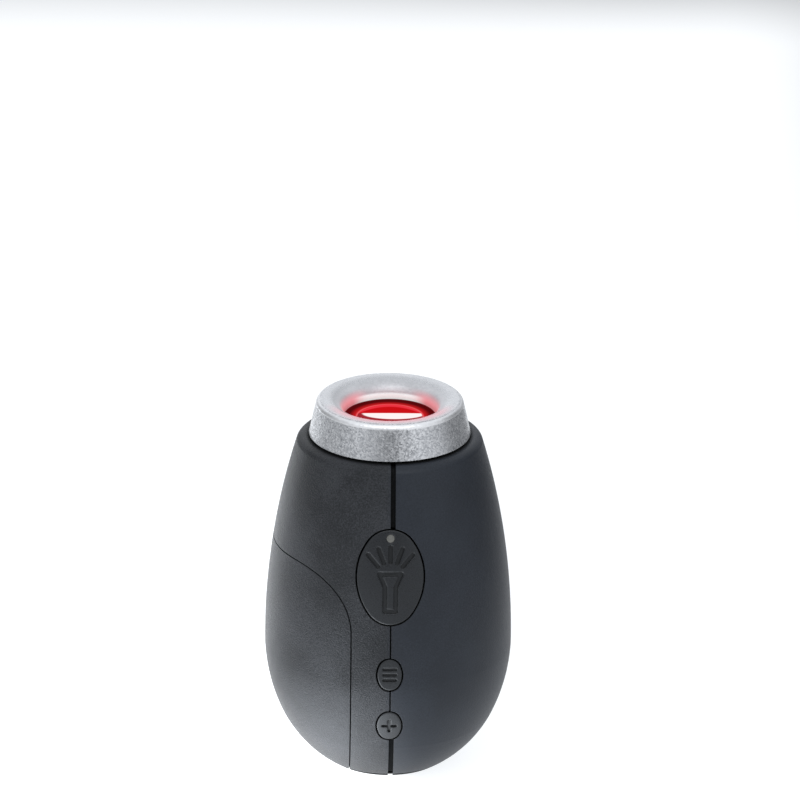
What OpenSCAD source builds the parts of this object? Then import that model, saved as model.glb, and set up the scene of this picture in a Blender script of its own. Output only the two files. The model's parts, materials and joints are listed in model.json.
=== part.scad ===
// Pocket projection alarm clock: an egg-shaped clamshell case, three buttons on the
// front seam, a focus ring on top that turns to raise the projection lens, and a
// battery door on the left. Millimetres, +Z up, the foot at z = 0, the front at -Y.

/* [Case] */
// Largest diameter of the egg-shaped case
body_d = 45; // [43:0.5:49]
// Height of the case up to the ledge under the focus ring
case_h = 63; // [61:0.5:66]
// Height at which the case is widest
belly_z = 24; // [22:0.5:26]
// Radius of the flat foot
foot_r = 10.3; // [9:0.1:12]
// Radius of the long arc above the belly, seen from the side
side_arc_r = 132; // [120:1:160]
// Radius of the arc below the belly, seen from the side
belly_arc_r = 33.2; // [31:0.2:36]
// Sweep of the arc below the belly, in degrees
belly_arc_sweep = 23.5; // [18:0.5:27]
// Radius of the rounded shoulder under the focus ring
shoulder_r = 1.75; // [1:0.05:2.2]
// Wall thickness of the case
wall = 1.8; // [1.5:0.1:2.1]
// Height of the lap joint between the two case halves
lap_h = 0.8; // [0.5:0.1:1.2]
// Play in the lap joint
lap_play = 0.05; // [0.03:0.01:0.1]
// Width of the wide reveal groove on the front seam
reveal_w = 0.9; // [0.5:0.05:1.2]
// Depth of the reveal groove
reveal_depth = 0.7; // [0.4:0.05:0.8]
// Width of the narrow part of the seam line
seam_w = 0.25; // [0.1:0.05:0.4]

/* [Focus ring] */
// Outer diameter of the ring at its lower edge
ring_d = 29.4; // [28.6:0.1:30.4]
// Diameter of the ring where its side meets the rounded top edge
ring_rim_d = 26.9; // [26.2:0.1:27.6]
// Height of the ring
ring_h = 6.5; // [6.2:0.1:7.2]
// Radius of the rounded top edge of the ring
ring_edge_r = 1; // [0.6:0.1:1.2]
// Running gap between the case ledge and the ring
ring_gap = 0.5; // [0.3:0.05:0.8]
// Radius of the ring's rounded mouth, from the land on top down into the hole
mouth_r = 3.3; // [2.9:0.1:3.6]
// Thickness of the ring over the end of the neck
roof_h = 2.96; // [2.9:0.02:3.1]
// Length of the sleeve inside the ring, from the ring's lower edge down
sleeve_drop = 6; // [5:0.5:7]
// Wall of the sleeve inside the ring
sleeve_wall = 1.5; // [1.3:0.1:1.6]

/* [Neck] */
// Free space between the ring's sleeve and the bore of the neck
sleeve_gap = 0.4; // [0.3:0.05:0.6]
// Wall of the neck
neck_wall = 1.25; // [1.1:0.05:1.4]
// Radial running clearance between ring and neck, and between ring and barrel
turn_play = 0.06; // [0.03:0.01:0.1]
// Radius of the snap bead on the neck
bead_r = 0.4; // [0.3:0.05:0.5]

/* [Lens barrel] */
// Outer diameter of the lens barrel
barrel_d = 16.6; // [16.2:0.1:16.8]
// Length of the lens barrel
barrel_h = 9.4; // [9:0.1:10]
// Distance from the top of the ring down to the face of the barrel, at rest
barrel_set = 3.55; // [3.4:0.05:4.2]
// Travel of the barrel each way from rest
focus_travel = 1; // [0.6:0.1:1.2]
// Wall of the lens barrel where it runs on the optics tube
barrel_wall = 1.34; // [1.2:0.02:1.5]
// Width of the step that the lens flange seats against
seat_step = 0.35; // [0.3:0.05:0.5]
// Width of the lens flange around the clear dome
lens_lip = 0.65; // [0.5:0.05:0.8]
// Height of the lens dome above the face of the barrel
lens_rise = 1.4; // [1:0.1:1.6]
// Thickness of the lens flange
lens_flange = 1.3; // [1:0.1:1.5]
// Thickness of the barrel's face over the lens flange
barrel_face = 0.6; // [0.5:0.05:0.8]
// Width of the ribs that keep the barrel from turning
key_w = 1.2; // [1:0.1:1.6]

/* [Optics] */
// Wall of the optics tube
tube_wall = 0.9; // [0.8:0.05:1.1]
// Depth of the socket under the lamp board
lamp_socket = 0.6; // [0.4:0.1:1]
// Free length between the lamp and the condenser lens
lamp_gap = 1.4; // [1:0.1:2]
// Diameter of the projection lamp
lamp_d = 5; // [4:0.1:6]
// Height of the projection lamp
lamp_h = 5.6; // [5:0.1:6]
// Thickness of the condenser lens
condenser_h = 2.8; // [2.4:0.1:3.2]
// Side of the square display glass
display_side = 7.6; // [7:0.1:8]
// Thickness of the display glass
display_t = 1.1; // [0.8:0.1:1.4]
// Width of the flat cable from the display to the board
ribbon_w = 5; // [4:0.1:5.6]
// Thickness of that cable
ribbon_t = 0.2; // [0.15:0.01:0.3]

/* [Projection button] */
// Width of the large oval button
p_w = 12.65; // [12:0.05:13]
// Height of the large oval button
p_h = 18; // [17:0.1:18.6]
// Height of its centre above the foot
p_z = 43.4; // [42.8:0.1:44.4]
// Radius of its upper and lower ends
p_end_r = 5; // [4.6:0.1:5.4]
// Diameter of the indicator window
window_d = 1.4; // [1:0.1:1.8]
// Distance of the indicator window below the button's upper end
window_drop = 1.8; // [1.6:0.1:2.4]

/* [Mode and set buttons] */
// Width of the small oval buttons
s_w = 5; // [4.6:0.1:5.6]
// Height of the small oval buttons
s_h = 6.6; // [6.2:0.1:7.2]
// Radius of their upper and lower ends
s_end_r = 2.2; // [2:0.05:2.4]
// Height of the mode button's centre above the foot
mode_z = 25; // [24.4:0.1:26]
// Height of the set button's centre above the foot
set_z = 14.4; // [14:0.1:15.2]

/* [All buttons] */
// Gap around each button
button_gap = 0.3; // [0.2:0.01:0.4]
// Travel of each button
button_travel = 0.5; // [0.3:0.05:0.6]
// Width of the flange that holds a button in the case
flange_w = 0.65; // [0.5:0.05:0.75]
// Thickness of that flange
flange_t = 0.8; // [0.6:0.05:1]
// Diameter of the stem behind each button
stem_d = 3; // [2.4:0.1:3.4]

/* [Marks moulded into the buttons] */
// Depth of the marks
mark_depth = 0.35; // [0.2:0.05:0.45]
// Width of the grooves in the large button
mark_w = 0.8; // [0.6:0.05:0.9]
// Angle between two rays, in degrees
ray_step = 20.5; // [18:0.5:23]
// Distance from the middle of the fan to the start of each ray
ray_in = 3.45; // [3.2:0.05:3.6]
// Distance from the middle of the fan to the end of each ray
ray_out = 6.15; // [5.6:0.05:6.4]
// Half the width of the lamp's head under the rays
lamp_head = 2; // [1.6:0.1:2.3]
// Half the width of the lamp's handle
lamp_grip = 1; // [0.8:0.05:1.2]
// Width of the grooves in the small buttons
mark_small_w = 0.55; // [0.45:0.05:0.65]
// Length of the three bars in the mode button
bar_l = 2.1; // [1.8:0.1:2.4]
// Distance between two bars
bar_step = 1.05; // [0.95:0.05:1.2]
// Length of the bars of the cross in the set button
cross_l = 2.3; // [2:0.1:2.6]

/* [Board] */
// Distance of the board's front face behind the widest point of the case
board_set = 8.5; // [8.2:0.1:9]
// Thickness of the boards
board_t = 1; // [0.8:0.1:1.2]
// Height of the board's lower edge above the foot
board_low = 9.5; // [9.2:0.1:10.5]
// Distance that the board reaches above the large button
board_over = 1.6; // [1.2:0.1:2]
// Side of each tact switch
switch_side = 4.6; // [4.2:0.1:5]
// Thickness of each tact switch
switch_t = 1.9; // [1.6:0.1:2.1]
// Diameter of a switch plunger
plunger_d = 2.2; // [1.8:0.1:2.4]
// Height of a plunger above its switch
plunger_h = 0.9; // [0.8:0.05:1.1]
// Diameter of the alarm buzzer
buzzer_d = 9.6; // [9:0.1:10]
// Height of the alarm buzzer
buzzer_h = 4.6; // [4:0.1:5]
// Diameter of the sound hole in the buzzer
buzzer_hole_d = 2; // [1.6:0.1:2.6]
// Radius of the moulded blob over the clock circuit
blob_r = 3.4; // [3:0.1:3.8]
// Height of that blob
blob_h = 1.3; // [1:0.1:1.6]
// Diameter of the quartz crystal's can
crystal_d = 2; // [1.8:0.1:2.2]
// Length of the quartz crystal's can
crystal_l = 6; // [5:0.1:7]
// Space between pieces on the board and its edges
board_space = 0.6; // [0.4:0.1:1]

/* [Battery bay] */
// Distance of the door's upper edge below the top of the case
door_drop = 19.5; // [18.6:0.1:19.8]
// Corner radius of the door
door_corner_r = 11; // [10:0.2:12]
// Width of the gap line around the door
door_gap = 0.2; // [0.15:0.01:0.3]
// Width of the rim inside the door's edge
bay_rim = 0.8; // [0.6:0.1:0.9]
// Depth of the tray's pocket in the wall of the bay
pocket_step = 0.25; // [0.2:0.05:0.4]
// Wall of the battery bay
bay_wall = 1; // [0.8:0.1:1.1]
// Diameter of a button cell
cell_d = 11.6; // [11.2:0.1:11.8]
// Thickness of a button cell
cell_t = 5.4; // [5:0.1:5.6]
// Height of the lowest cell above the foot
cell_low = 15.2; // [14.8:0.1:16]
// Free space between the cells and the inside of the door
cell_gap = 0.85; // [0.6:0.05:1]
// Wall of the battery tray
tray_wall = 0.9; // [0.7:0.1:1]
// Free space at each end of the stack of cells, for its contacts
contact_space = 1.6; // [1.4:0.1:1.9]
// Height of each door tongue
tongue_h = 7; // [5:0.5:8]
// Thickness of each door tongue
tongue_t = 0.8; // [0.6:0.05:1]

/* [Screws] */
// Diameter of the case screws
screw_d = 1.9; // [1.7:0.1:2.1]
// Diameter of the screw heads
screw_head_d = 3.4; // [3.2:0.1:3.6]
// Thickness of the screw heads
screw_head_h = 0.7; // [0.6:0.1:0.8]
// Length of the screws under the head
screw_l = 12; // [11:0.5:13]
// Wall of the screw bosses
boss_wall = 1.1; // [0.9:0.1:1.2]

/* [Hidden] */
$fn = 96;

big = 200;                      // larger than the whole clock
fit = 0.05;                     // clearance of pieces that seat in one another

// ---- outline of the case, as tangent arcs ----
body_r = body_d / 2;
arc_step = 0.02;                // how far the disc of one arc stands past the next
side_cx = body_r - side_arc_r;
belly_cx = body_r - belly_arc_r + arc_step;
turn_x = belly_cx + belly_arc_r * cos(belly_arc_sweep);
turn_z = belly_z - belly_arc_r * sin(belly_arc_sweep);
base_arc_r = ((turn_x - foot_r) * (turn_x - foot_r) + turn_z * turn_z)
    / (2 * ((turn_x - foot_r) * cos(belly_arc_sweep) - turn_z * sin(belly_arc_sweep)));
base_cx = turn_x - (base_arc_r - arc_step) * cos(belly_arc_sweep);
base_cz = turn_z + (base_arc_r - arc_step) * sin(belly_arc_sweep);

function thousandth(v) = round(v * 1000) / 1000;
function arc_x(cx, r, dz) = cx + sqrt(max(0, r * r - dz * dz));
function case_r(z, inset = 0) =
    z > belly_z ? arc_x(side_cx, side_arc_r - inset, z - belly_z)
    : z > belly_z - (belly_arc_r - inset) * sin(belly_arc_sweep)
        ? arc_x(belly_cx, belly_arc_r - inset, z - belly_z)
        : arc_x(base_cx, base_arc_r - inset, z - base_cz);
function chord(z, y, inset) = sqrt(max(0, pow(case_r(z, inset), 2) - y * y));

// ---- ring, neck and barrel ----
ring_low = case_h + ring_gap;
ring_top = ring_low + ring_h;
ring_slope = atan((ring_d - ring_rim_d) / 2 / (ring_h - ring_edge_r));
bore_r = barrel_d / 2 + turn_play;
sleeve_r = bore_r + sleeve_wall;
neck_in = sleeve_r + sleeve_gap;
neck_r = neck_in + neck_wall;
sleeve_low = ring_low - sleeve_drop;
ceiling_z = ring_top - roof_h;
neck_top = ceiling_z - turn_play;
bead_z = ring_low + 1.6;
neck_low = sleeve_low - 1.5;

barrel_top = ring_top - barrel_set;
barrel_low = barrel_top - barrel_h;
lens_seat = barrel_top - barrel_face;
tube_r = barrel_d / 2 - barrel_wall - turn_play;
flange_r = tube_r - seat_step;
lens_r = flange_r - lens_lip;
retainer_h = 1;
retainer_top = lens_seat - lens_flange;
tube_in = tube_r - tube_wall;
tube_top = retainer_top - retainer_h - focus_travel - 0.4;
key_out = tube_r + 0.5;

// ---- battery bay and door ----
door_top = case_h - door_drop;
bay_out = bay_rim + bay_wall;
cell_x = thousandth(cell_d / 2 + cell_gap - case_r(cell_low, wall));
bay_face = cell_x + cell_d / 2 + 0.15 + tray_wall;  // face of the tray pocket
door_x = bay_rim - bay_face + pocket_step;
rim_face = bay_rim - door_x;                // outer face of the plate behind the door
rim_back = bay_out - door_x;                // its face towards the board
cell_high = cell_low + 3 * cell_t;
tray_low = cell_low - contact_space - tray_wall;
tray_high = cell_high + contact_space + tray_wall;
tray_half = cell_d / 2 + 0.3 + tray_wall;
tongue_low = belly_z - tongue_h / 2 - 1;
tongue_y = chord(tongue_low, door_x, wall) - 0.15;

// ---- optics, standing over the corner of the bay ----
bay_corner_r = door_corner_r + bay_out;
bay_corner_z = door_top + bay_out - bay_corner_r;
tube_low = bay_corner_z + 0.6
    + sqrt(max(0, pow(bay_corner_r, 2) - pow(bay_corner_r - rim_back - tube_r - 0.3, 2)));
tube_h = tube_top - tube_low;
lamp_low = tube_low + lamp_socket + board_t;
condenser_z = lamp_low + lamp_h + lamp_gap;
display_z = condenser_z + condenser_h + 0.6;
frame_h = display_t + 0.9;

// ---- board ----
board_y = board_set - body_r;               // front face of the board
board_back = board_y + board_t;
board_high = p_z + p_h / 2 + board_over;
board_left = rim_back + 0.4;
board_right = min(chord(board_low, board_y, wall), chord(board_high, board_y, wall)) - 0.5;
switch_y = board_y - switch_t;
plunger_y = switch_y - plunger_h;
plunger_end = switch_y + switch_t / 2;

// ---- screws, each as [y, z] ----
boss_r = screw_d / 2 + boss_wall;
screws = [[tube_r + 2.6, tube_low - boss_r - 1.2],
          [tube_r + 2.6, board_low + 2.5],
          [board_back + 5, board_low + 1.5]];
head_pocket = screw_head_h + 0.3;
screw_tip = rim_face + head_pocket + screw_l;
screw_play = 0.02;

// ---- pieces on the back of the board, from the bottom up ----
buzzer_z = board_low + 2 * boss_r + buzzer_d / 2 + 2.5;
crystal_z = buzzer_z + buzzer_d / 2 + 1;
blob_z = crystal_z + blob_r;

// ---- ribs that hold the optics tube ----
rib_t = 1.4;
rib_low = door_top + bay_out + 0.6;
rib_high = neck_low - rib_t - 0.8;

module belly_disc(inset) {
    translate([belly_cx, belly_z]) circle(belly_arc_r - inset, $fn = 240);
}

module side_disc(inset) {
    translate([side_cx, belly_z]) circle(side_arc_r - inset, $fn = 720);
}

// Half of the case's outline, moved inwards by inset. It is cut from discs, each of
// which takes over from the one above it.
module egg_outline(inset = 0) {
    belly_low = thousandth(belly_z - (belly_arc_r - inset) * sin(belly_arc_sweep));
    top = case_h - inset;
    shoulder = shoulder_r - inset;
    intersection() {
        translate([base_cx, base_cz]) circle(base_arc_r - inset, $fn = 240);
        belly_disc(inset);
        translate([0, inset]) square([big, belly_low - inset]);
    }
    intersection() {
        belly_disc(inset);
        side_disc(inset);
        translate([0, belly_low]) square([big, belly_z - belly_low]);
    }
    intersection() {
        side_disc(inset);
        translate([0, belly_z])
            if (shoulder > 0.4) rounded_block(top - belly_z, shoulder, side_arc_r - inset);
            else square([big, top - belly_z]);
    }
}

// An upright block whose right side is the side arc and whose upper corner is rounded.
module rounded_block(h, r, arc_r) {
    reach = arc_r - r + arc_step;
    z = h - r;
    x = thousandth(side_cx + sqrt(reach * reach - z * z));
    meet_z = thousandth(arc_r * z / reach);
    square([big, meet_z]);
    square([x, h]);
    intersection() {
        translate([x, z]) circle(r, $fn = 48);
        translate([x, 0]) square([big, h]);
    }
}

module egg(inset = 0) {
    rotate_extrude($fn = 144) egg_outline(inset);
}

// An oval of four arcs: two ends of radius end_r and two flanks tangent to them.
module oval(w, h, end_r, grow = 0) {
    a = w / 2;
    drop = h / 2 - end_r;
    flank_r = (a * a + drop * drop - end_r * end_r) / (2 * (a - end_r));
    meet_z = (flank_r + grow) * drop / (flank_r - end_r);
    intersection() {
        translate([a - flank_r, 0]) circle(flank_r + grow, $fn = 180);
        translate([flank_r - a, 0]) circle(flank_r + grow, $fn = 180);
        square([big, 2 * meet_z], center = true);
    }
    for (side = [-1, 1]) translate([0, side * drop]) circle(end_r + grow, $fn = 96);
}

// An upright outline in X and Z, pushed through the front of the case.
module through_front(z, y_from = -big / 2, y_to = 0) {
    translate([0, y_to, z]) rotate([90, 0, 0]) linear_extrude(y_to - y_from) children();
}

module half_space(side) {
    translate([side > 0 ? 0 : -big, -big / 2, -big / 2]) cube(big);
}

// The region left of the door line, in X and Z, larger by grow.
module door_region(grow = 0) {
    r = door_corner_r + grow;
    edge = grow - door_x;
    top = door_top + grow;
    translate([-big, -big / 2]) square([big + edge - r, big / 2 + top]);
    translate([-big, -big / 2]) square([big + edge, big / 2 + top - r]);
    translate([edge - r, top - r]) circle(r, $fn = 96);
}

module door_block(grow = 0) {
    translate([0, big / 2, 0]) rotate([90, 0, 0]) linear_extrude(big) door_region(grow);
}

module button_holes() {
    through_front(p_z) oval(p_w, p_h, p_end_r);
    for (z = [mode_z, set_z]) through_front(z) oval(s_w, s_h, s_end_r);
}

// The neck, standing on the upper wall of the case, with its snap bead.
module neck() {
    rotate_extrude($fn = 144) {
        translate([neck_in, neck_low]) square([neck_wall, neck_top - neck_low]);
        intersection() {
            translate([neck_r, bead_z]) circle(bead_r, $fn = 32);
            translate([neck_r - 0.2, bead_z - 1]) square([1, 2]);
        }
    }
}

module case_wall() {
    difference() {
        egg();
        egg(wall);
        translate([0, 0, case_h - 2 * wall]) cylinder(r = neck_r - neck_wall / 2, h = big);
        button_holes();
    }
}

// A web across one half of the case that clamps the optics tube.
module tube_rib(z) {
    difference() {
        intersection() {
            egg(wall - 0.2);
            translate([-big / 2, board_back + 0.9, z]) cube([big, big, rib_t]);
        }
        translate([0, 0, z - 1]) cylinder(r = tube_r + fit, h = rib_t + 2);
        ribbon_path(0.3);
    }
}

// The straight way of the display's ribbon from the board to the tube, larger by grow.
module ribbon_path(grow = 0) {
    half = ribbon_w / 2 + grow;
    translate([-half, board_back - grow, display_z + 0.1 - grow])
        cube([2 * half, grow - board_back, ribbon_t + 2 * grow]);
}

// The inner band of the wall, left of the seam, where the two halves lap. It ends
// below the upper wall, where the ring holds the halves together.
module lap_band(outer, inner, reach) {
    difference() {
        intersection() {
            egg(outer);
            translate([-reach, -big / 2, 0]) cube([reach, big, case_h - 2 * wall]);
        }
        egg(inner);
    }
}

module reveal(z_from, z_to, w) {
    difference() {
        translate([0, -big, z_from]) cube([w, big, z_to - z_from]);
        egg(reveal_depth);
    }
}

// The pocket in the bay's wall that the battery tray sits in, larger by grow.
module tray_pocket(grow) {
    half = tray_half + fit + grow;
    low = tray_low - fit - grow;
    translate([-big + bay_face + grow, -half, low])
        cube([big, 2 * half, tray_high - low + fit + grow]);
}

module screw_places() {
    for (s = screws) translate([0, s[0], s[1]]) rotate([0, 90, 0]) children();
}

module board_guide(z) {
    difference() {
        intersection() {
            egg(wall - 0.2);
            translate([board_right - 1, board_y - 1.2, z]) cube([big, board_t + 2.4, 1.2]);
        }
        translate([-big, board_y - fit, z - 1])
            cube([big + board_right + fit, board_t + 2 * fit, 4]);
    }
}

module right_shell() color([0.2, 0.205, 0.22]) {
    difference() {
        union() {
            intersection() {
                union() {
                    case_wall();
                    neck();
                    tube_rib(rib_low);
                    tube_rib(rib_high);
                }
                half_space(1);
            }
            difference() {
                lap_band(wall / 2 + lap_play, wall, lap_h - lap_play);
                button_holes();
            }
            intersection() {
                screw_places() cylinder(r = boss_r, h = big);
                egg(wall - 0.2);
            }
            for (z = [board_low + 8, p_z - 7, board_high - 5]) board_guide(z);
        }
        screw_places() translate([0, 0, -1])
            cylinder(r = screw_d / 2 + screw_play, h = screw_tip + 1.3);
        reveal(p_z + p_h / 2 - 0.6, case_h + 1, reveal_w);
        reveal(-1, set_z - s_h / 2 + 0.6, reveal_w);
        reveal(set_z, p_z, seam_w);
    }
}

module left_shell() color([0.21, 0.215, 0.23]) {
    difference() {
        union() {
            difference() {
                intersection() {
                    union() {
                        case_wall();
                        neck();
                        tube_rib(rib_low);
                        tube_rib(rib_high);
                    }
                    half_space(-1);
                }
                door_block(door_gap / 2);
                lap_band(wall / 2, wall + 0.3, lap_h);
            }
            difference() {
                intersection() {
                    egg(wall - 0.2);
                    half_space(-1);
                    union() {
                        door_block(bay_out);
                        tray_pocket(bay_wall);
                    }
                }
                door_block(bay_rim);
                tray_pocket(0);
            }
            intersection() {
                screw_places() translate([0, 0, rim_face]) cylinder(r = boss_r, h = -rim_face);
                half_space(-1);
            }
        }
        screw_places() translate([0, 0, rim_face - 1]) {
            cylinder(r = screw_d / 2 + 0.15, h = big);
            cylinder(r = screw_head_d / 2 + 0.15, h = 1 + head_pocket);
        }
        tray_pocket(0);
    }
}

module battery_door() color([0.21, 0.215, 0.23]) {
    tongue_root = 1.6;
    intersection() {
        difference() {
            egg();
            egg(wall);
        }
        door_block(-door_gap / 2);
    }
    for (y = [tongue_y - tongue_t, -tongue_y])
        translate([-door_x - tongue_root, y, tongue_low])
            cube([tongue_root + bay_rim - 0.1, tongue_t, tongue_h]);
}

module ring_outline() {
    e = ring_edge_r;
    cx = ring_d / 2 - (ring_h - e) * tan(ring_slope) - e / cos(ring_slope);
    difference() {
        union() {
            polygon([
                [bore_r, sleeve_low],
                [sleeve_r, sleeve_low],
                [sleeve_r, ring_low],
                [ring_d / 2, ring_low],
                [cx + e * cos(ring_slope), ring_top - e + e * sin(ring_slope)],
                [cx, ring_top],
                [bore_r + mouth_r, ring_top],
                [bore_r, ring_top - mouth_r]
            ]);
            translate([cx, ring_top - e]) circle(e, $fn = 64);
            translate([bore_r + mouth_r, ring_top - mouth_r]) intersection() {
                circle(mouth_r, $fn = 96);
                translate([-mouth_r, 0]) square(mouth_r);
            }
        }
        translate([sleeve_r, ring_low - 1])
            square([neck_r + turn_play - sleeve_r, ceiling_z - ring_low + 1]);
        translate([neck_r, bead_z]) circle(bead_r + turn_play, $fn = 32);
    }
}

module focus_ring() color([0.68, 0.69, 0.71]) {
    rotate_extrude($fn = 144) ring_outline();
}

module keys(r_out, w, z, h) {
    for (a = [0, 180]) rotate([0, 0, a]) translate([0, -w / 2, z]) cube([r_out, w, h]);
}

module lens_barrel() color([0.05, 0.05, 0.055]) {
    difference() {
        translate([0, 0, barrel_low]) cylinder(d = barrel_d, h = barrel_h);
        translate([0, 0, barrel_low - 1])
            cylinder(r = tube_r + turn_play, h = retainer_top - retainer_h - 0.2 - barrel_low + 1);
        translate([0, 0, barrel_low]) cylinder(r = flange_r + fit, h = lens_seat - barrel_low);
        cylinder(r = lens_r + fit, h = big);
        keys(key_out + 0.1, key_w + 0.1, barrel_low - 1,
             tube_top + focus_travel + 0.3 - barrel_low + 1);
    }
}

module projection_lens() color([0.85, 0.12, 0.14]) {
    dome_r = (lens_r * lens_r + lens_rise * lens_rise) / (2 * lens_rise);
    rotate_extrude($fn = 144) {
        translate([0, retainer_top]) square([flange_r, lens_flange]);
        translate([0, retainer_top]) square([lens_r, barrel_top - retainer_top]);
        intersection() {
            translate([0, barrel_top + lens_rise - dome_r]) circle(dome_r, $fn = 144);
            translate([0, barrel_top]) square([lens_r + 1, lens_rise + 1]);
        }
    }
}

module lens_retainer() color([0.1, 0.1, 0.11]) {
    difference() {
        translate([0, 0, retainer_top - retainer_h]) cylinder(r = flange_r + fit / 2, h = retainer_h);
        translate([0, 0, retainer_top - 2]) cylinder(r = flange_r - 1, h = 3);
    }
}

module optics_tube() color([0.08, 0.08, 0.09]) {
    difference() {
        union() {
            translate([0, 0, tube_low]) cylinder(r = tube_r, h = tube_h);
            intersection() {
                keys(key_out, key_w, barrel_low - focus_travel, tube_top - barrel_low + focus_travel);
                translate([0, 0, tube_low]) cylinder(r = key_out, h = tube_h);
            }
        }
        translate([0, 0, lamp_low - board_t]) cylinder(r = tube_in, h = big);
        translate([0, 0, tube_low - 1]) cylinder(r = tube_in - 0.8, h = big);
        ribbon_path(0.2);
    }
}

module led_board() color([0.1, 0.35, 0.18]) {
    translate([0, 0, lamp_low - board_t]) cylinder(r = tube_in - fit, h = board_t);
}

module projection_led() color([0.9, 0.15, 0.15]) {
    translate([0, 0, lamp_low]) {
        cylinder(r = lamp_d / 2 + 0.4, h = 1);
        cylinder(r = lamp_d / 2, h = lamp_h - lamp_d / 2);
        translate([0, 0, lamp_h - lamp_d / 2]) sphere(lamp_d / 2, $fn = 64);
    }
}

module condenser_lens() color([0.85, 0.88, 0.9]) {
    edge = 1;
    rise = condenser_h - edge;
    r = tube_in - fit;
    dome_r = (r * r + rise * rise) / (2 * rise);
    translate([0, 0, condenser_z + rise]) cylinder(r = r, h = edge);
    intersection() {
        translate([0, 0, condenser_z + dome_r]) sphere(dome_r, $fn = 96);
        translate([0, 0, condenser_z - 0.1]) cylinder(r = r, h = rise + 0.2);
    }
}

module display_frame() color([0.12, 0.12, 0.13]) {
    translate([0, 0, display_z]) difference() {
        cylinder(r = tube_in - fit, h = frame_h);
        translate([0, 0, frame_h / 2 + 0.6])
            cube([display_side + 0.1, display_side + 0.1, frame_h], center = true);
        cube([display_side - 1.6, display_side - 1.6, 3 * frame_h], center = true);
    }
}

module display_panel() color([0.55, 0.62, 0.6]) {
    translate([-display_side / 2, -display_side / 2, display_z + 0.62])
        cube([display_side, display_side, display_t]);
}

module display_ribbon() color([0.8, 0.5, 0.15]) {
    difference() {
        ribbon_path();
        cylinder(r = tube_in, h = big);
    }
}

module main_board() color([0.08, 0.32, 0.16]) {
    translate([board_left, board_y, board_low])
        cube([board_right - board_left, board_t, board_high - board_low]);
}

module clock_chip() color([0.06, 0.06, 0.06]) {
    dome_r = (blob_r * blob_r + blob_h * blob_h) / (2 * blob_h);
    translate([board_left + blob_r + board_space, board_back, blob_z]) rotate([-90, 0, 0])
        intersection() {
            translate([0, 0, blob_h - dome_r]) sphere(dome_r, $fn = 64);
            cylinder(r = blob_r, h = 2 * blob_h);
        }
}

module quartz_crystal() color([0.75, 0.75, 0.77]) {
    translate([board_right - board_space - crystal_d, board_back + crystal_d / 2, crystal_z])
        cylinder(d = crystal_d, h = crystal_l);
}

module alarm_buzzer() color([0.09, 0.09, 0.09]) {
    translate([board_right - buzzer_d / 2 - board_space, board_back, buzzer_z])
        rotate([-90, 0, 0]) difference() {
            cylinder(d = buzzer_d, h = buzzer_h);
            translate([0, 0, buzzer_h / 2]) cylinder(d = buzzer_hole_d, h = buzzer_h);
        }
}

// A button cap: its face follows the case, its flange sits behind the case wall, and
// its stem reaches the plunger of its switch.
module cap(z, w, h, end_r) {
    difference() {
        union() {
            intersection() {
                through_front(z) oval(w, h, end_r, -button_gap);
                egg();
            }
            intersection() {
                through_front(z) oval(w, h, end_r, flange_w);
                egg(wall + 0.1);
            }
        }
        egg(wall + 0.1 + flange_t);
    }
    intersection() {
        through_front(z, plunger_y - big / 4, plunger_y) circle(d = stem_d, $fn = 48);
        egg(wall + 0.1 + flange_t - 0.2);
    }
}

module plunger(z) {
    through_front(z, plunger_y, plunger_end) circle(d = plunger_d, $fn = 48);
}

module tact_switch(z) {
    difference() {
        translate([-switch_side / 2, switch_y, z - switch_side / 2])
            cube([switch_side, switch_t, switch_side]);
        through_front(z, switch_y - 1, plunger_end + button_travel + 0.1)
            circle(r = plunger_d / 2 + 0.06, $fn = 48);
    }
}

// A groove with round ends from one point to the next, in X and Z.
module groove(points, w) {
    for (i = [1:len(points) - 1]) {
        run = points[i] - points[i - 1];
        translate(points[i - 1]) rotate(atan2(run[1], run[0]))
            translate([0, -w / 2]) square([norm(run), w]);
    }
    for (p = points) translate(p) circle(d = w, $fn = 32);
}

// Rays over a lamp with a handle: the mark of the large button.
module lamp_mark() {
    fan_z = -0.5;
    head_z = 0.7;
    taper = 2.3;
    foot_z = -6.2;
    translate([0, fan_z]) for (i = [-2:2]) rotate(i * ray_step)
        groove([[0, ray_in], [0, ray_out]], mark_w);
    side = [[lamp_head, head_z], [lamp_grip, head_z - taper], [lamp_grip, foot_z]];
    groove(concat([for (p = side) [-p[0], p[1]]], [side[2], side[1], side[0]],
        [[-lamp_head, head_z]]), mark_w);
}

module bars_mark() {
    for (i = [-1:1])
        groove([[-bar_l / 2, i * bar_step], [bar_l / 2, i * bar_step]], mark_small_w);
}

module cross_mark() {
    for (a = [0, 90]) rotate(a) groove([[-cross_l / 2, 0], [cross_l / 2, 0]], mark_small_w);
}

// What a mark takes out of the case's outer surface.
module engraved(z) {
    difference() {
        through_front(z) children();
        egg(mark_depth);
    }
}

module projection_button() color([0.2, 0.205, 0.22]) {
    difference() {
        cap(p_z, p_w, p_h, p_end_r);
        engraved(p_z) lamp_mark();
        through_front(p_z + p_h / 2 - window_drop) circle(d = window_d + 2 * fit, $fn = 48);
    }
}

module indicator_window() color([0.5, 0.52, 0.5]) {
    intersection() {
        through_front(p_z + p_h / 2 - window_drop) circle(d = window_d, $fn = 48);
        difference() {
            egg();
            egg(wall + 0.1 + flange_t);
        }
    }
}

module mode_button() color([0.2, 0.205, 0.22]) {
    difference() {
        cap(mode_z, s_w, s_h, s_end_r);
        engraved(mode_z) bars_mark();
    }
}

module set_button() color([0.2, 0.205, 0.22]) {
    difference() {
        cap(set_z, s_w, s_h, s_end_r);
        engraved(set_z) cross_mark();
    }
}

module projection_plunger() color([0.85, 0.8, 0.5]) {
    plunger(p_z);
}

module mode_plunger() color([0.85, 0.8, 0.5]) {
    plunger(mode_z);
}

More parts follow.
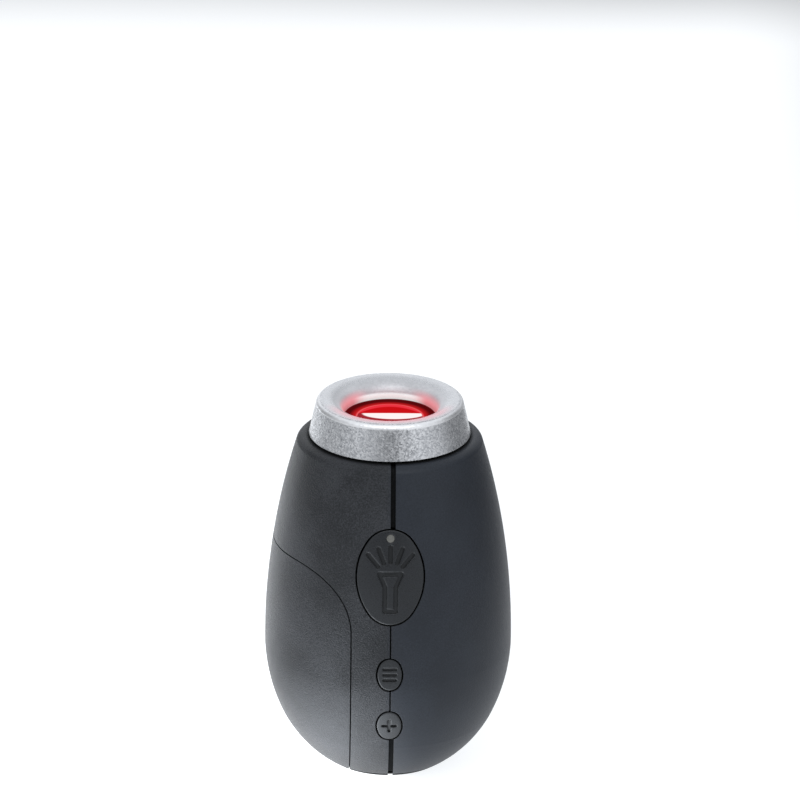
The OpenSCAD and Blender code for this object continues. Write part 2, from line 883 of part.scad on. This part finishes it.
module set_plunger() color([0.85, 0.8, 0.5]) {
    plunger(set_z);
}

module projection_switch() color([0.15, 0.15, 0.16]) {
    tact_switch(p_z);
}

module mode_switch() color([0.15, 0.15, 0.16]) {
    tact_switch(mode_z);
}

module set_switch() color([0.15, 0.15, 0.16]) {
    tact_switch(set_z);
}

module battery_tray() color([0.16, 0.16, 0.17]) {
    depth = cell_d / 2 + tray_wall + 0.15;
    difference() {
        translate([bay_face - depth, -tray_half, tray_low])
            cube([depth, 2 * tray_half, tray_high - tray_low]);
        translate([cell_x, 0, tray_low + tray_wall])
            cylinder(d = cell_d + 0.3, h = tray_high - tray_low - 2 * tray_wall);
    }
}

module button_cells() color([0.8, 0.8, 0.81]) {
    rim = 0.35;
    for (i = [0:2]) translate([cell_x, 0, cell_low + i * cell_t]) {
        cylinder(d = cell_d - 1.4, h = rim + 0.1);
        translate([0, 0, rim]) cylinder(d = cell_d, h = cell_t - rim);
    }
}

// One conical coil of wire, wound in a single sweep from the tray up to the cells.
module battery_spring() color([0.82, 0.8, 0.72]) {
    wire_r = 0.22;
    turns = 2.75;
    steps = 18;
    sides = 8;
    wide = cell_d / 2 - 1.6;
    narrow = 1.6;
    low = tray_low + tray_wall + wire_r + 0.02;
    rise = contact_space - 2 * wire_r - 0.04;
    last = round(turns * steps);
    points = [for (i = [0:last], k = [0:sides - 1])
        let (t = i / last, r = wide + (narrow - wide) * t + wire_r * cos(360 * k / sides))
        [r * cos(360 * i / steps), r * sin(360 * i / steps), low + rise * t + wire_r * sin(360 * k / sides)]];
    faces = concat(
        [[for (k = [0:sides - 1]) k]],
        [for (i = [0:last - 1], k = [0:sides - 1])
            let (j = (k + 1) % sides)
            [i * sides + k, (i + 1) * sides + k, (i + 1) * sides + j, i * sides + j]],
        [[for (k = [sides - 1:-1:0]) last * sides + k]]);
    translate([cell_x, 0, 0]) polyhedron(points, faces, convexity = 6);
}

// A plate with a domed dimple that presses on the top cell.
module battery_contact() color([0.82, 0.8, 0.72]) {
    plate_t = 0.4;
    half = 3;
    plate_z = cell_high + contact_space - plate_t;
    dimple_h = contact_space - plate_t - 0.02;
    dimple_r = 1.8;
    dome_r = (dimple_r * dimple_r + dimple_h * dimple_h) / (2 * dimple_h);
    reach = sqrt(pow(cell_d / 2 + 0.1, 2) - half * half);
    translate([cell_x - half, -half, plate_z]) cube([half + reach, 2 * half, plate_t]);
    translate([cell_x, 0, plate_z]) intersection() {
        translate([0, 0, dome_r - dimple_h]) sphere(dome_r, $fn = 48);
        translate([0, 0, -dimple_h - 1]) cylinder(r = dimple_r, h = dimple_h + 1.1);
    }
}

module case_screws() color([0.7, 0.7, 0.72]) {
    screw_places() translate([0, 0, rim_face + head_pocket - screw_head_h]) {
        difference() {
            cylinder(d = screw_head_d, h = screw_head_h);
            for (a = [0, 90]) rotate([0, 0, a]) cube([1.8, 0.4, 0.8], center = true);
        }
        cylinder(d = screw_d, h = screw_l);
    }
}

right_shell();
left_shell();
battery_door();
focus_ring();
lens_barrel();
projection_lens();
lens_retainer();
optics_tube();
led_board();
projection_led();
condenser_lens();
display_frame();
display_panel();
display_ribbon();
main_board();
clock_chip();
quartz_crystal();
alarm_buzzer();
projection_button();
indicator_window();
projection_plunger();
projection_switch();
mode_button();
mode_plunger();
mode_switch();
set_button();
set_plunger();
set_switch();
battery_tray();
button_cells();
battery_spring();
battery_contact();
case_screws();
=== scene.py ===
import json
import math

import bpy
from mathutils import Matrix, Vector

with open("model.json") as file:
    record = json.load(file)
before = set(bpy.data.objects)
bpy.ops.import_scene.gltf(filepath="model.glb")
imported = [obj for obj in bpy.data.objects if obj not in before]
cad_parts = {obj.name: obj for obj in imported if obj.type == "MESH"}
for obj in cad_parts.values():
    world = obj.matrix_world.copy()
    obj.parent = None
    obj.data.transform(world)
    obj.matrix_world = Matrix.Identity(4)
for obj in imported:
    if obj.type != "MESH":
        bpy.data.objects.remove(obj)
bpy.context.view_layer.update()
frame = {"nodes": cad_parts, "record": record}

nodes = frame["nodes"]
mm = 0.001

cameraView = {
    "elevation": 21.6,     # degrees above the floor
    "azimuth": -1.0,       # degrees, towards +X
    "roll": 0.52,          # degrees, leans the clock to the right
    "lens": 500.0,         # long lens, mm
    "frameWidth": 145.16 * mm,
    "aimHeight": 69.7 * mm,
    "aimRight": 1.81 * mm,
    "clipEnd": 50,
}


def makeCamera(view):
    azimuth, elevation, roll = (math.radians(view[key]) for key in ("azimuth", "elevation", "roll"))
    flat = math.cos(elevation)
    back = Vector((math.sin(azimuth) * flat, -math.cos(azimuth) * flat, math.sin(elevation)))
    right = Vector((math.cos(azimuth), math.sin(azimuth), 0))
    up = back.cross(right)
    rolledRight = right * math.cos(roll) + up * math.sin(roll)
    rolledUp = up * math.cos(roll) - right * math.sin(roll)
    data = bpy.data.cameras.new("clockCamera")
    data.lens = view["lens"]
    data.clip_end = view["clipEnd"]
    distance = view["frameWidth"] * view["lens"] / data.sensor_width
    aim = Vector((0, 0, view["aimHeight"])) + rolledRight * view["aimRight"]
    cam = bpy.data.objects.new("clockCamera", data)
    turn = Matrix((rolledRight, rolledUp, back)).transposed().to_4x4()
    cam.matrix_world = Matrix.Translation(aim + back * distance) @ turn
    bpy.context.scene.collection.objects.link(cam)
    bpy.context.scene.camera = cam
    print("camera set")


def newMaterial(name):
    mat = bpy.data.materials.new(name)
    mat.use_nodes = True
    return mat, mat.node_tree, mat.node_tree.nodes["Principled BSDF"]


def addNode(tree, kind, **settings):
    node = tree.nodes.new(kind)
    for key, value in settings.items():
        setattr(node, key, value)
    return node


def setSockets(node, values):
    for key, value in values.items():
        node.inputs[key].default_value = value


def feed(tree, socket, value):
    # a link where the value comes from a node, or else the plain number
    if isinstance(value, bpy.types.NodeSocket):
        tree.links.new(value, socket)
    else:
        socket.default_value = value


def noiseAt(tree, size, detail=2.0, roughness=0.5):
    # noise whose spots are about that size, in metres, on the piece itself
    place = addNode(tree, "ShaderNodeTexCoord")
    noise = addNode(tree, "ShaderNodeTexNoise")
    setSockets(noise, {"Scale": 1 / size, "Detail": detail, "Roughness": roughness})
    tree.links.new(place.outputs["Object"], noise.inputs["Vector"])
    return noise.outputs["Fac"]


def spread(tree, source, low, high, middle=(0.3, 0.7)):
    # most of a noise lies in that middle, which is stretched to low..high
    node = addNode(tree, "ShaderNodeMapRange")
    setSockets(node, {"From Min": middle[0], "From Max": middle[1], "To Min": low, "To Max": high})
    tree.links.new(source, node.inputs["Value"])
    return node.outputs["Result"]


def ramp(tree, source, span, low=0, high=1):
    # low before the span, high after it, and a smooth change between
    node = addNode(tree, "ShaderNodeMapRange", interpolation_type="SMOOTHSTEP")
    setSockets(node, {"From Min": span[0], "From Max": span[1], "To Min": low, "To Max": high})
    tree.links.new(source, node.inputs["Value"])
    return node.outputs["Result"]


def combine(tree, operation, first, second=0):
    node = addNode(tree, "ShaderNodeMath", operation=operation)
    for socket, value in zip(node.inputs, (first, second)):
        feed(tree, socket, value)
    return node.outputs[0]


def times(tree, first, *others):
    for other in others:
        first = combine(tree, "MULTIPLY", first, other)
    return first


def distance(tree, x, y):
    squares = combine(tree, "ADD", times(tree, x, x), times(tree, y, y))
    return combine(tree, "POWER", squares, 0.5)


def blend(tree, share, first, second):
    # first where share is 0, second where it is 1
    node = addNode(tree, "ShaderNodeMix")
    for index, value in ((0, share), (2, first), (3, second)):
        feed(tree, node.inputs[index], value)
    return node.outputs[0]


def mixColour(tree, share, first, second):
    node = addNode(tree, "ShaderNodeMix", data_type="RGBA")
    sockets = {(s.name, s.type): s for s in node.inputs}
    for key, value in (("A", first), ("B", second)):
        isPlain = isinstance(value, tuple)
        feed(tree, sockets[key, "RGBA"], (*value, 1) if isPlain else value)
    feed(tree, sockets["Factor", "VALUE"], share)
    return [s for s in node.outputs if s.type == "RGBA"][0]


def addBump(tree, height, depth, normal):
    bump = addNode(tree, "ShaderNodeBump")
    setSockets(bump, {"Strength": 1.0, "Distance": depth})
    tree.links.new(height, bump.inputs["Height"])
    tree.links.new(normal, bump.inputs["Normal"])
    return bump.outputs["Normal"]


def softEdges(tree, radius):
    bevel = addNode(tree, "ShaderNodeBevel", samples=6)
    setSockets(bevel, {"Radius": radius})
    return bevel.outputs["Normal"]


def openness(tree, reach, span, low=0.0):
    # share for painted shade, from ambient occlusion: low deep in a gap, 1 on open faces
    shade = addNode(tree, "ShaderNodeAmbientOcclusion", samples=8)
    setSockets(shade, {"Distance": reach})
    return ramp(tree, shade.outputs["AO"], span, low, 1.0)


def pointOnPiece(tree):
    # the point on the piece at rest, whole and as its X, Y and Z
    place = addNode(tree, "ShaderNodeTexCoord")
    axes = addNode(tree, "ShaderNodeSeparateXYZ")
    tree.links.new(place.outputs["Object"], axes.inputs[0])
    return place.outputs["Object"], axes.outputs


def lightUp(tree, shader, colour):
    tree.links.new(colour, shader.inputs["Emission Color"])
    shader.inputs["Emission Strength"].default_value = 1.0


# each pair of colours runs from the darkest to the lightest
casePlastic = {
    "name": "charcoalSatin",
    "left": ((0.006, 0.0065, 0.008), (0.032, 0.034, 0.039)),
    "right": ((0.012, 0.0145, 0.020), (0.018, 0.022, 0.030)),
    "seam": (-1 * mm, 1 * mm),                # left half before, right half after
    "ior": 1.38,
    "sheenTint": (0.90, 0.95, 1.0),
    "roughness": (0.42, 0.52),
    "grainSize": 0.26 * mm,
    "grainDepth": (0.150 * mm, 0.040 * mm),   # left, right
    "cloudSize": 12 * mm,
    "cloudShare": 0.4,                        # the rest of the mottle is grain
    "mottleSpan": (0.38, 0.62),
    "edgeRadius": 0.16 * mm,
    # painted shade: gaps, creases and marks go dark by ambient occlusion
    "gapReach": 0.9 * mm,
    "gapSpan": (0.66, 0.98),
    "gapShadeColour": (0.001, 0.001, 0.001),
    "gapRoughness": 1.0,
}

capColours = ((0.008, 0.0085, 0.010), (0.012, 0.013, 0.015))

# the caps are smoother and glossier than the case
buttonPlastic = dict(
    casePlastic,
    name="charcoalButton",
    left=capColours,
    right=capColours,
    ior=1.47,
    roughness=(0.26, 0.32),
    grainDepth=(0.010 * mm, 0.010 * mm),
    edgeRadius=0.42 * mm,
    gapReach=0.80 * mm,
    gapRoughness=0.36,
)


def mouldedPlastic(look):
    mat, tree, shader = newMaterial(look["name"])
    x = pointOnPiece(tree)[1]["X"]
    cloud = noiseAt(tree, look["cloudSize"])
    grain = noiseAt(tree, look["grainSize"], 3.0, 0.6)
    share = look["cloudShare"]
    mottle = combine(tree, "ADD", times(tree, cloud, share), times(tree, grain, 1 - share))
    tone = ramp(tree, mottle, look["mottleSpan"])
    leftColour, rightColour = (mixColour(tree, tone, *look[side]) for side in ("left", "right"))
    colour = mixColour(tree, ramp(tree, x, look["seam"]), leftColour, rightColour)
    # painted shade in gaps and creases
    open_ = openness(tree, look["gapReach"], look["gapSpan"])
    tree.links.new(mixColour(tree, open_, look["gapShadeColour"], colour), shader.inputs["Base Color"])
    setSockets(shader, {"IOR": look["ior"], "Specular Tint": (*look["sheenTint"], 1)})
    rough = spread(tree, grain, *look["roughness"])
    rough = blend(tree, open_, look["gapRoughness"], rough)
    tree.links.new(rough, shader.inputs["Roughness"])
    # the grain is coarser on the left half
    left, right = look["grainDepth"]
    height = times(tree, grain, ramp(tree, x, look["seam"], 1.0, right / left))
    normal = addBump(tree, height, left, softEdges(tree, look["edgeRadius"]))
    tree.links.new(normal, shader.inputs["Normal"])
    return mat


# radii are spans of the distance from the clock's axis, heights are spans above the floor
ringPaint = {
    "name": "silverSparkle",
    "metallic": 0.9,
    "dark": (0.34, 0.35, 0.37),
    "light": (0.69, 0.70, 0.72),
    "roughness": (0.24, 0.32),
    "flakeSize": 0.27 * mm,
    "flakeTilt": 0.12,
    "edgeRadius": 0.10 * mm,
    # the sparkle is calm on top and in the mouth, and full on the side
    "calm": 0.2,
    "calmTone": 0.6,
    "sideRadii": (12.2 * mm, 12.9 * mm),
    # painted shadow: the case darkens the foot of the side
    "shadow": (0.10, 0.10, 0.11),
    "shadowReach": 4 * mm,
    "shadowSpan": (0.35, 0.9),
    "shadowLeast": 0.25,
    "shadowHeights": (66 * mm, 67 * mm),
    # painted highlight: the rounded outer edge is lighter in colour
    "paintedEdgeHighlight": (0.82, 0.83, 0.85),
    "edgeRadii": (12.7 * mm, 13.0 * mm),
    "edgeHeights": (69.0 * mm, 69.2 * mm),
    "edgeSatin": 0.5,                         # share of the satin that the edge gets
    "satin": 0.50,                            # roughness in the mouth
    "mouthRadii": (9.6 * mm, 10.6 * mm),
}

# the lamp's light in the ring's mouth: pink at the sides and in front, white at the back
mouthLight = {
    "pink": (0.80, 0.30, 0.34),
    "pinkRadii": (8.35 * mm, 9.35 * mm),
    "outwards": (0.40, 0.85),                 # X over the distance from the axis
    "pinkLeast": 0.05,
    "frontRadii": (10.4 * mm, 13.0 * mm),
    "frontShare": 0.9,
    "frontDepths": (-9 * mm, -2 * mm),        # along Y
    "sideGlow": (0.36, 0.17, 0.18),
    # painted light: a grey glow that lightens the sides of the mouth
    "fillGlow": (0.17, 0.17, 0.18),
    "fillRadii": (9.3 * mm, 10.5 * mm),
    "backGlow": (0.48, 0.56, 0.55),
    "backHeights": (67.5 * mm, 68.0 * mm),
    "backDepths": (5 * mm, 7.5 * mm),         # along Y
    "backRadii": (10 * mm, 10.5 * mm),
    # painted light and shade: dark red at the very foot of the mouth
    "foot": (0.05, 0.004, 0.005),
    "footGlow": (0.10, 0.004, 0.006),
    "footHeights": (66.57 * mm, 66.67 * mm),
    "footRadii": (9 * mm, 9.2 * mm),
}


def leanFlakes(tree, flakes, amount, normal):
    # each flake leans its own way
    centred = addNode(tree, "ShaderNodeVectorMath", operation="SUBTRACT")
    centred.inputs[1].default_value = (0.5, 0.5, 0.5)
    tree.links.new(flakes.outputs["Color"], centred.inputs[0])
    lean = addNode(tree, "ShaderNodeVectorMath", operation="SCALE")
    tree.links.new(centred.outputs["Vector"], lean.inputs[0])
    tree.links.new(amount, lean.inputs["Scale"])
    tilted = addNode(tree, "ShaderNodeVectorMath", operation="ADD")
    tree.links.new(normal, tilted.inputs[0])
    tree.links.new(lean.outputs["Vector"], tilted.inputs[1])
    unit = addNode(tree, "ShaderNodeVectorMath", operation="NORMALIZE")
    tree.links.new(tilted.outputs["Vector"], unit.inputs[0])
    return unit.outputs["Vector"]


def lightMouth(tree, silver, axes, radius, light):
    # gives the paint's colour and its glow, with the lamp's light on both
    x, y, z = axes
    outwards = combine(tree, "DIVIDE", combine(tree, "ABSOLUTE", x), radius)
    side = times(tree, ramp(tree, radius, light["pinkRadii"], 1, 0),
                 ramp(tree, outwards, light["outwards"], light["pinkLeast"], 1))
    front = times(tree, ramp(tree, radius, light["frontRadii"], light["frontShare"], 0),
                  ramp(tree, y, light["frontDepths"], 1, 0))
    foot = times(tree, ramp(tree, z, light["footHeights"], 1, 0),
                 ramp(tree, radius, light["footRadii"], 1, 0))
    back = times(tree, ramp(tree, z, light["backHeights"], 1, 0),
                 ramp(tree, y, light["backDepths"]),
                 ramp(tree, radius, light["backRadii"], 1, 0))
    fill = times(tree, ramp(tree, radius, light["fillRadii"], 1, 0),
                 ramp(tree, outwards, light["outwards"]))
    colour = mixColour(tree, combine(tree, "MAXIMUM", side, front), silver, light["pink"])
    colour = mixColour(tree, foot, colour, light["foot"])
    glow = mixColour(tree, fill, (0, 0, 0), light["fillGlow"])
    glow = mixColour(tree, side, glow, light["sideGlow"])
    glow = mixColour(tree, back, glow, light["backGlow"])
    return colour, mixColour(tree, foot, glow, light["footGlow"])


def sparklePaint(look, light):
    mat, tree, shader = newMaterial(look["name"])
    shader.inputs["Metallic"].default_value = look["metallic"]
    where, axes = pointOnPiece(tree)
    z, radius = axes["Z"], distance(tree, axes["X"], axes["Y"])
    flakes = addNode(tree, "ShaderNodeTexVoronoi")
    flakes.inputs["Scale"].default_value = 1 / look["flakeSize"]
    tree.links.new(where, flakes.inputs["Vector"])
    sparkle = ramp(tree, radius, look["sideRadii"], look["calm"], 1)
    tilt = times(tree, sparkle, look["flakeTilt"])
    normal = leanFlakes(tree, flakes, tilt, softEdges(tree, look["edgeRadius"]))
    tree.links.new(normal, shader.inputs["Normal"])

    shade = addNode(tree, "ShaderNodeSeparateXYZ")
    tree.links.new(flakes.outputs["Color"], shade.inputs[0])
    tone = blend(tree, sparkle, look["calmTone"], shade.outputs["X"])
    silver = mixColour(tree, tone, look["dark"], look["light"])
    # painted shadow near the case
    nearCase = openness(tree, look["shadowReach"], look["shadowSpan"], look["shadowLeast"])
    lit = blend(tree, ramp(tree, z, look["shadowHeights"]), nearCase, 1.0)
    silver = mixColour(tree, lit, look["shadow"], silver)
    # painted highlight along the rounded outer edge
    onEdge = times(tree, ramp(tree, radius, look["edgeRadii"]), ramp(tree, z, look["edgeHeights"]))
    silver = mixColour(tree, onEdge, silver, look["paintedEdgeHighlight"])

    satin = combine(tree, "MAXIMUM", times(tree, onEdge, look["edgeSatin"]),
                    ramp(tree, radius, look["mouthRadii"], 1, 0))
    rough = spread(tree, flakes.outputs["Distance"], *look["roughness"])
    tree.links.new(blend(tree, satin, rough, look["satin"]), shader.inputs["Roughness"])
    colour, glow = lightMouth(tree, silver, axes, radius, light)
    tree.links.new(colour, shader.inputs["Base Color"])
    lightUp(tree, shader, glow)
    return mat


barrelGlow = {
    "name": "blackMatt",
    "black": (0.004, 0.002, 0.002),
    "roughness": 0.8,
    "beside": (0.80, 0.10, 0.11),             # right beside the lens
    "besideRadii": (6.05 * mm, 6.35 * mm),
    "near": (0.58, 0.010, 0.013),
    "far": (0.09, 0.001, 0.002),              # out at the ring
    "farRadii": (6.1 * mm, 7.7 * mm),
    "faceHeights": (66.2 * mm, 66.3 * mm),    # only the face above this is lit
}


def litBlack(look):
    # matt black, with the lamp's red light on the face around the lens
    mat, tree, shader = newMaterial(look["name"])
    x, y, z = pointOnPiece(tree)[1]
    radius = distance(tree, x, y)
    setSockets(shader, {"Base Color": (*look["black"], 1), "Roughness": look["roughness"],
                        "Specular IOR Level": 0.0})
    lit = mixColour(tree, ramp(tree, radius, look["farRadii"]), look["near"], look["far"])
    beside = ramp(tree, radius, look["besideRadii"], 1, 0)
    lit = mixColour(tree, beside, lit, look["beside"])
    lightUp(tree, shader, mixColour(tree, ramp(tree, z, look["faceHeights"]), (0, 0, 0), lit))
    return mat


# painted light: the lens glows red, pinker at its back, with a white oval in front
lensGlow = {
    "name": "litLens",
    "dark": (0.05, 0.001, 0.001),
    "roughness": 0.3,
    "red": (0.56, 0.004, 0.007),
    "arc": (0.80, 0.035, 0.055),              # the back of the lens
    "arcDepths": (1.2 * mm, 2.1 * mm),        # along Y
    # painted light: the white window in front, an oval with a straight upper edge
    "white": (1.0, 0.90, 0.90),
    "rim": (0.30, 0.020, 0.028),
    "lean": 22.5,                             # degrees, the slope that it is cut at
    "windowAt": -62.00 * mm,                  # its straight edge, along that slope
    "windowSoft": 0.05 * mm,
    "windowHalf": 5.67 * mm,
    "windowDeep": 1.10 * mm,
    "windowRight": 0.68 * mm,
    "windowSpan": (1.1, 0.9),                 # outside the oval, inside it
}


def litLens(look):
    mat, tree, shader = newMaterial(look["name"])
    setSockets(shader, {"Base Color": (*look["dark"], 1), "Roughness": look["roughness"],
                        "Specular IOR Level": 0.0})
    where, axes = pointOnPiece(tree)
    slope = math.radians(look["lean"])
    along = addNode(tree, "ShaderNodeVectorMath", operation="DOT_PRODUCT")
    along.inputs[1].default_value = (0, -math.sin(slope), -math.cos(slope))
    tree.links.new(where, along.inputs[0])
    below = combine(tree, "SUBTRACT", along.outputs["Value"], look["windowAt"])
    aside = combine(tree, "SUBTRACT", axes["X"], look["windowRight"])
    across = combine(tree, "DIVIDE", aside, look["windowHalf"])
    down = combine(tree, "DIVIDE", below, look["windowDeep"])
    oval = combine(tree, "ADD", times(tree, across, across), times(tree, down, down))
    window = mixColour(tree, ramp(tree, oval, look["windowSpan"]), look["rim"], look["white"])
    red = mixColour(tree, ramp(tree, axes["Y"], look["arcDepths"]), look["red"], look["arc"])
    inFront = ramp(tree, below, (-look["windowSoft"], look["windowSoft"]))
    lightUp(tree, shader, mixColour(tree, inFront, red, window))
    return mat


# finishes that are much the same all over, by the slot they fill
plainLooks = {
    "clear_plastic": {"name": "clearLens", "colour": (0.9, 0.92, 0.93), "roughness": 0.06,
                      "clear": 0.9},
    "display_glass": {"name": "displayGlass", "colour": (0.5, 0.55, 0.52), "roughness": 0.08,
                      "clear": 0.6},
    "lamp_plastic": {"name": "lampRed", "colour": (0.8, 0.05, 0.05), "roughness": 0.15,
                     "clear": 0.4},
    "window_plastic": {"name": "frostedWindow", "colour": (0.13, 0.13, 0.12), "roughness": 0.28},
    "board_laminate": {"name": "boardGreen", "colour": (0.02, 0.12, 0.04), "roughness": 0.35},
    "ribbon_film": {"name": "ribbonAmber", "colour": (0.5, 0.2, 0.03), "roughness": 0.3},
    "chip_resin": {"name": "chipResin", "colour": (0.01, 0.01, 0.01), "roughness": 0.2},
    "plunger_plastic": {"name": "plungerCream", "colour": (0.6, 0.55, 0.3), "roughness": 0.45},
    "tray_plastic": {"name": "trayBlack", "colour": (0.02, 0.02, 0.022), "roughness": 0.5},
    "cell_steel": {"name": "cellNickel", "colour": (0.6, 0.6, 0.61), "roughness": 0.25,
                   "metallic": 1.0},
    "contact_brass": {"name": "contactBrass", "colour": (0.7, 0.6, 0.35), "roughness": 0.3,
                      "metallic": 1.0},
    "plated_steel": {"name": "screwZinc", "colour": (0.55, 0.55, 0.56), "roughness": 0.35,
                     "metallic": 1.0},
}

plainSpots = {
    "size": 0.6 * mm,
    "colourShare": 0.12,      # how far the spots go up and down from the colour
    "roughnessShare": 0.15,
}


def plainFinish(look, marks):
    mat, tree, shader = newMaterial(look["name"])
    spots = noiseAt(tree, marks["size"], 3.0)
    share = marks["colourShare"]
    darker = tuple(c * (1 - share) for c in look["colour"])
    lighter = tuple(min(1.0, c * (1 + share)) for c in look["colour"])
    tint = mixColour(tree, spread(tree, spots, 0, 1), darker, lighter)
    tree.links.new(tint, shader.inputs["Base Color"])
    share, roughness = marks["roughnessShare"], look["roughness"]
    rough = spread(tree, spots, roughness * (1 - share), min(1.0, roughness * (1 + share)))
    tree.links.new(rough, shader.inputs["Roughness"])
    setSockets(shader, {"Metallic": look.get("metallic", 0.0),
                        "Transmission Weight": look.get("clear", 0.0)})
    return mat


def makeFinishes():
    finishes = {
        "case_plastic": mouldedPlastic(casePlastic),
        "button_plastic": mouldedPlastic(buttonPlastic),
        "ring_paint": sparklePaint(ringPaint, mouthLight),
        "lens_plastic": litLens(lensGlow),
        "black_plastic": litBlack(barrelGlow),
    }
    for slot, look in plainLooks.items():
        finishes[slot] = plainFinish(look, plainSpots)
    for part in frame["record"]["subparts"]:
        mesh = nodes[part["node"]].data
        mesh.materials.clear()
        mesh.materials.append(finishes[part["material_slot"]])
        for face in mesh.polygons:
            face.material_index = 0
    print("finishes set on", len(nodes), "nodes")


# a white table lit from within, which fades to grey in front and at the sides
lightTable = {
    "half": 6.0,
    "colour": (0.30, 0.30, 0.30),
    "roughness": 0.8,
    "tint": (0.95, 0.975, 1.0),
    "underFoot": (9.3 * mm, 10.2 * mm),       # no light comes from under the clock
    # the white part that the clock stands on
    "white": 0.80,
    "whiteX": (-0.076, 0.076),
    "whiteY": (-0.024, 0.380),
    "whiteEdge": 0.070,
    # the floor beyond it
    "frontLeft": 0.45, "frontRight": 0.48, "frontTurn": (-0.060, 0.030),
    "backLeft": 0.30, "backRight": 0.04, "backTurn": (-0.060, -0.020),
    "spots": [
        {"at": (-0.018, -0.028), "reach": 0.030, "glow": 4.5},
        {"at": (-0.042, -0.031), "reach": 0.048, "glow": 2.3},
        {"at": (-0.110, -0.090), "reach": 0.200, "glow": 0.6},
        {"at": (-0.180, 0.110), "reach": 0.150, "glow": 1.8},
        # these brighten the left rim
        {"at": (-0.026, 0.004), "reach": 0.026, "glow": 1.4},
        {"at": (-0.052, 0.045), "reach": 0.045, "glow": 1.8},
        {"at": (-0.070, 0.100), "reach": 0.065, "glow": 1.8},
        {"at": (-0.105, 0.145), "reach": 0.062, "glow": 3.4},
    ],
}


def makeTable(look):
    mat, tree, shader = newMaterial("lightTable")
    setSockets(shader, {"Base Color": (*look["colour"], 1), "Roughness": look["roughness"],
                        "Emission Color": (*look["tint"], 1)})
    place = addNode(tree, "ShaderNodeNewGeometry")
    axes = addNode(tree, "ShaderNodeSeparateXYZ")
    tree.links.new(place.outputs["Position"], axes.inputs[0])
    x, y = axes.outputs["X"], axes.outputs["Y"]
    edge = look["whiteEdge"]
    (left, right), (near, far) = look["whiteX"], look["whiteY"]
    white = times(tree, ramp(tree, x, (left - edge, left)),
                  ramp(tree, x, (right, right + edge), 1, 0),
                  ramp(tree, y, (near - edge, near)),
                  ramp(tree, y, (far, far + edge), 1, 0))
    front = ramp(tree, x, look["frontTurn"], look["frontLeft"], look["frontRight"])
    back = ramp(tree, x, look["whiteX"], look["backLeft"], look["backRight"])
    beyond = blend(tree, ramp(tree, y, look["backTurn"]), front, back)
    glow = blend(tree, white, beyond, look["white"])
    for spot in look["spots"]:
        dx, dy = (combine(tree, "SUBTRACT", axis, at) for axis, at in zip((x, y), spot["at"]))
        patch = ramp(tree, distance(tree, dx, dy), (0, spot["reach"]), spot["glow"], 0)
        glow = combine(tree, "ADD", glow, patch)
    glow = times(tree, glow, ramp(tree, distance(tree, x, y), look["underFoot"]))
    tree.links.new(glow, shader.inputs["Emission Strength"])
    mesh = bpy.data.meshes.new("floor")
    half = look["half"]
    mesh.from_pydata([(-half, -half, 0), (half, -half, 0), (half, half, 0), (-half, half, 0)],
                     [], [(0, 1, 2, 3)])
    mesh.materials.append(mat)
    floor = bpy.data.objects.new("floor", mesh)
    bpy.context.scene.collection.objects.link(floor)
    print("table set")


room = {
    "colour": (0.95, 0.97, 1.0),
    # brightness around the clock, by degrees to the right of the viewer's side
    "around": {-180: 0.7, -150: 0.6, -124: 0.0, -90: 0.22, -44: 0.50, 0: 0.12,
               44: 0.66, 80: 0.38, 116: 0.0, 150: 0.35, 180: 0.7},
    "strength": 1.8,
    "above": 0.55,
    "aboveSpan": (0.35, 0.75),                # sine of the height where that takes over
}


def makeRoom(look):
    world = bpy.data.worlds.new("room")
    world.use_nodes = True
    tree = world.node_tree
    background = tree.nodes["Background"]
    background.inputs["Strength"].default_value = look["strength"]
    place = addNode(tree, "ShaderNodeTexCoord")
    axes = addNode(tree, "ShaderNodeSeparateXYZ")
    tree.links.new(place.outputs["Generated"], axes.inputs[0])
    x, y, z = axes.outputs
    angle = combine(tree, "ARCTAN2", x, times(tree, y, -1))
    turn = combine(tree, "ADD", combine(tree, "DIVIDE", angle, 2 * math.pi), 0.5)
    around = addNode(tree, "ShaderNodeValToRGB")
    around.color_ramp.interpolation = "EASE"
    stops = around.color_ramp.elements
    while len(stops) < len(look["around"]):
        stops.new(0.5)
    for stop, (degrees, level) in zip(stops, look["around"].items()):
        stop.position = degrees / 360 + 0.5
        stop.color = (level, level, level, 1)
    tree.links.new(turn, around.inputs["Fac"])
    high = ramp(tree, z, look["aboveSpan"])
    level = mixColour(tree, high, around.outputs["Color"], (look["above"],) * 3)
    tinted = addNode(tree, "ShaderNodeVectorMath", operation="MULTIPLY")
    tree.links.new(level, tinted.inputs[0])
    tinted.inputs[1].default_value = look["colour"]
    tree.links.new(tinted.outputs["Vector"], background.inputs["Color"])
    bpy.context.scene.world = world
    print("room set")


topBox = {
    "at": (-0.04, -0.42, 0.50),
    "aim": (0, 0, 35 * mm),
    "size": (0.60, 0.30),
    "power": 0.9,
}


def makeLamp(name, lamp):
    data = bpy.data.lights.new(name, "AREA")
    data.shape = "RECTANGLE"
    data.size, data.size_y = lamp["size"]
    data.energy = lamp["power"]
    obj = bpy.data.objects.new(name, data)
    obj.location = lamp["at"]
    aim = Vector(lamp["aim"]) - obj.location
    obj.rotation_euler = aim.to_track_quat("-Z", "Y").to_euler()
    bpy.context.scene.collection.objects.link(obj)
    print("lamp set")


makeCamera(cameraView)
makeFinishes()
makeTable(lightTable)
makeRoom(room)
makeLamp("topBox", topBox)
bpy.context.scene.view_settings.view_transform = "Standard"
